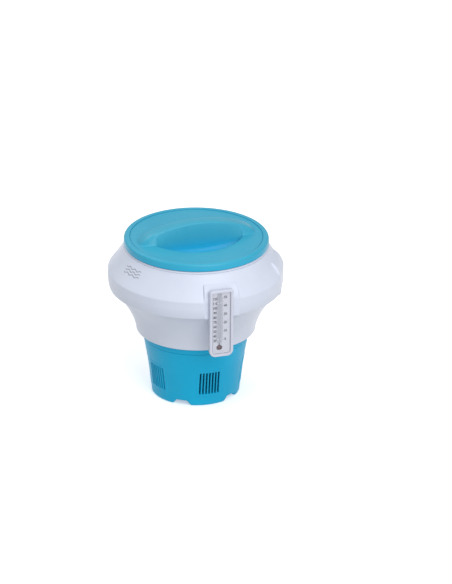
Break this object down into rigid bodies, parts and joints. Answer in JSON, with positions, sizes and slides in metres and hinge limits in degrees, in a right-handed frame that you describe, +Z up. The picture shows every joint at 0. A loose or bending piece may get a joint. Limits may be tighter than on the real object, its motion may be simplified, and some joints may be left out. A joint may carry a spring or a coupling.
{
  "type": "floating chlorine dispenser",
  "caption": "Round floating pool chlorine dispenser: hollow float ring, lift-off lid with grip bar, slotted tablet cup with turning flow regulator, and clip-on thermometer.",
  "frame": {"origin": "centre of the cup's foot rim, on the surface the part stands on", "axes": "+Z up along the turning axis of lid and regulator, -Y towards the thermometer, +X to the right seen from the thermometer's side"},
  "size_m": [0.185, 0.1879, 0.192],
  "materials": {
    "lid_blue": "smooth moulded, light sheen",
    "white_plastic": "smooth moulded, satin",
    "seal_rubber": "moulded rubber",
    "foam": "closed-cell foam",
    "cup_blue": "smooth moulded, satin",
    "regulator_grey": "moulded, matte",
    "dial_blue": "moulded, matte",
    "screw_steel": "stainless steel",
    "case_white": "smooth moulded, gloss",
    "card_white": "printed plastic sheet",
    "tube_glass": "clear glass",
    "red_liquid": "dyed liquid",
    "clip_grey": "moulded",
    "window_clear": "clear moulded plastic"
  },
  "bodies": {
    "float": {"float_upper_shell": "white_plastic", "float_lower_shell": "white_plastic", "foam_ring": "foam", "tablet_well": "white_plastic", "neck_ring": "white_plastic", "cup_ring": "cup_blue", "cup": "cup_blue", "vent_grilles": "cup_blue", "thermometer_case": "case_white", "case_screws": "screw_steel", "scale_card": "card_white", "glass_tube": "tube_glass", "liquid_column": "red_liquid", "tube_clips": "clip_grey", "thermometer_window": "window_clear"},
    "seal": {"lid_seal": "seal_rubber"},
    "lid": {"lid": "lid_blue", "lid_liner": "white_plastic"},
    "regulator": {"regulator_sleeve": "regulator_grey", "tablet_grid": "regulator_grey", "flow_dial": "dial_blue", "dial_screw": "screw_steel"}
  },
  "joints": [
    {"name": "lid_twist", "type": "hinge", "parent": "float", "child": "seal", "pos_m": [0, 0, 0.1655], "axis": [0, 0, 1], "range_deg": [0, 90]},
    {"name": "lid_lift", "type": "slide", "parent": "seal", "child": "lid", "axis": [0, 0, 1], "range_m": [0, 0.12]},
    {"name": "regulator_turn", "type": "hinge", "parent": "float", "child": "regulator", "pos_m": [0, 0, 0.01], "axis": [0, 0, 1], "range_deg": [0, 36]}
  ]
}
